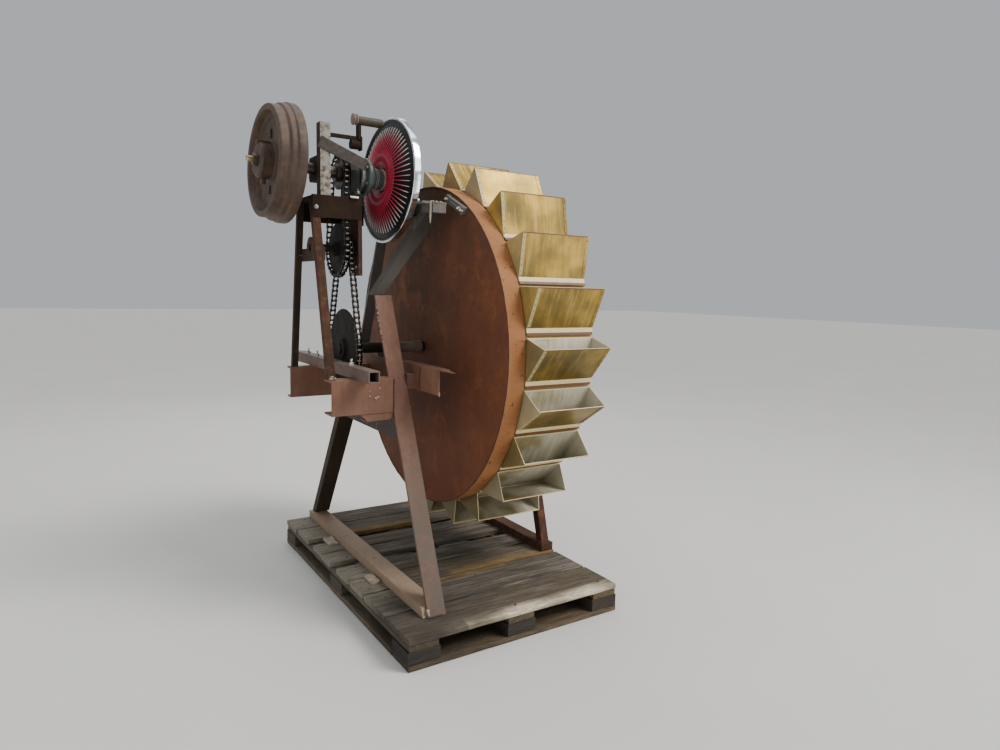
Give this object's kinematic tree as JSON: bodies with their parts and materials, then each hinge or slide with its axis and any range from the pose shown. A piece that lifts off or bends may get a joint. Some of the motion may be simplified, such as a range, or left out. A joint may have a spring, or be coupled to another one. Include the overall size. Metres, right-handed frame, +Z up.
{
  "type": "bucket water wheel on a steel stand",
  "caption": "Upright water wheel with folded sheet buckets behind a plate disc, on a steel stand with a chain drive, flywheel and spoked wheel, standing on a wooden pallet.",
  "frame": {"origin": "middle of the pallet's underside, at ground level", "axes": "+X along the wheel's axle from the drive side to the bucket side, +Y across the pallet to the back, +Z up"},
  "size_m": [1.1, 1.3916, 1.73],
  "materials": {
    "red_primer": "red-brown primer, worn",
    "dark_steel": "dark painted steel, rusty",
    "grey_steel": "grey paint, worn",
    "bearing_casting": "rusty cast iron",
    "pallet_base_wood": "weathered rough-sawn wood",
    "pallet_deck_wood": "weathered rough-sawn wood",
    "flaking_paint": "light grey paint, flaking",
    "olive_paint": "olive-brown paint",
    "rusty_bracket": "rust-red plate",
    "dark_casting": "dark painted casting",
    "chain_steel": "oiled roller chain",
    "rusted_plate": "evenly rusted plate",
    "rusted_drum": "orange-brown rusted plate",
    "shaft_steel": "worn steel shaft",
    "dark_shaft": "oily dark steel",
    "rusty_casting": "rusty turned casting",
    "green_hub": "dark green enamel",
    "black_enamel": "black enamel with red and white ribs",
    "chrome_rim": "bright plating",
    "yellow_zinc": "yellow-passivated zinc sheet"
  },
  "bodies": {
    "stand": {"pallet_base": "pallet_base_wood", "pallet_deck": "pallet_deck_wood", "left_base_rail": "red_primer", "left_front_leg": "red_primer", "left_rear_leg": "dark_steel", "platform_beam": "red_primer", "platform_front_channel": "red_primer", "platform_rear_channel": "red_primer", "platform_tube": "red_primer", "trestle_front_post": "red_primer", "trestle_rear_post": "dark_steel", "upper_frame": "red_primer", "light_post": "flaking_paint", "side_arm": "dark_steel", "top_cylinder": "olive_paint", "bearing_crossbar": "red_primer", "corner_brace": "grey_steel", "brace_head": "grey_steel", "far_stand": "red_primer", "main_bearing_near": "bearing_casting", "main_bearing_far": "bearing_casting", "layshaft_bearing": "bearing_casting", "layshaft_bracket": "rusty_bracket", "top_bearing_left": "bearing_casting", "top_bearing_mid": "dark_casting", "top_bearing_right": "bearing_casting", "lower_chain": "chain_steel", "upper_chain": "chain_steel"},
    "water_wheel": {"wheel_disc": "rusted_plate", "wheel_drum": "rusted_drum", "main_shaft": "shaft_steel", "bucket_01": "yellow_zinc", "bucket_02": "yellow_zinc", "bucket_03": "yellow_zinc", "bucket_04": "yellow_zinc", "bucket_05": "yellow_zinc", "bucket_06": "yellow_zinc", "bucket_07": "yellow_zinc", "bucket_08": "yellow_zinc", "bucket_09": "yellow_zinc", "bucket_10": "yellow_zinc", "bucket_11": "yellow_zinc", "bucket_12": "yellow_zinc", "bucket_13": "yellow_zinc", "bucket_14": "yellow_zinc", "bucket_15": "yellow_zinc", "bucket_16": "yellow_zinc", "bucket_17": "yellow_zinc", "bucket_18": "yellow_zinc", "bucket_19": "yellow_zinc", "bucket_20": "yellow_zinc", "bucket_21": "yellow_zinc", "bucket_22": "yellow_zinc"},
    "layshaft_set": {"layshaft": "dark_shaft"},
    "top_set": {"top_shaft": "shaft_steel", "flywheel": "rusty_casting", "wheel_hub": "green_hub", "spoked_wheel": "black_enamel", "chrome_rim": "chrome_rim"}
  },
  "joints": [
    {"name": "wheel_spin", "type": "hinge", "parent": "stand", "child": "water_wheel", "pos_m": [-0.032, 0.05, 0.905], "axis": [1, 0, 0], "continuous": true},
    {"name": "layshaft_spin", "type": "hinge", "parent": "stand", "child": "layshaft_set", "pos_m": [-0.377, 0.04, 1.26], "axis": [1, 0, 0], "continuous": true},
    {"name": "top_shaft_spin", "type": "hinge", "parent": "stand", "child": "top_set", "pos_m": [-0.377, 0.019, 1.517], "axis": [0.9982, 0.0436, -0.0418], "continuous": true}
  ],
  "couplings": [
    {"joint": "layshaft_spin", "follows": "wheel_spin", "ratio": 2.7222},
    {"joint": "top_shaft_spin", "follows": "wheel_spin", "ratio": 4.2194}
  ]
}
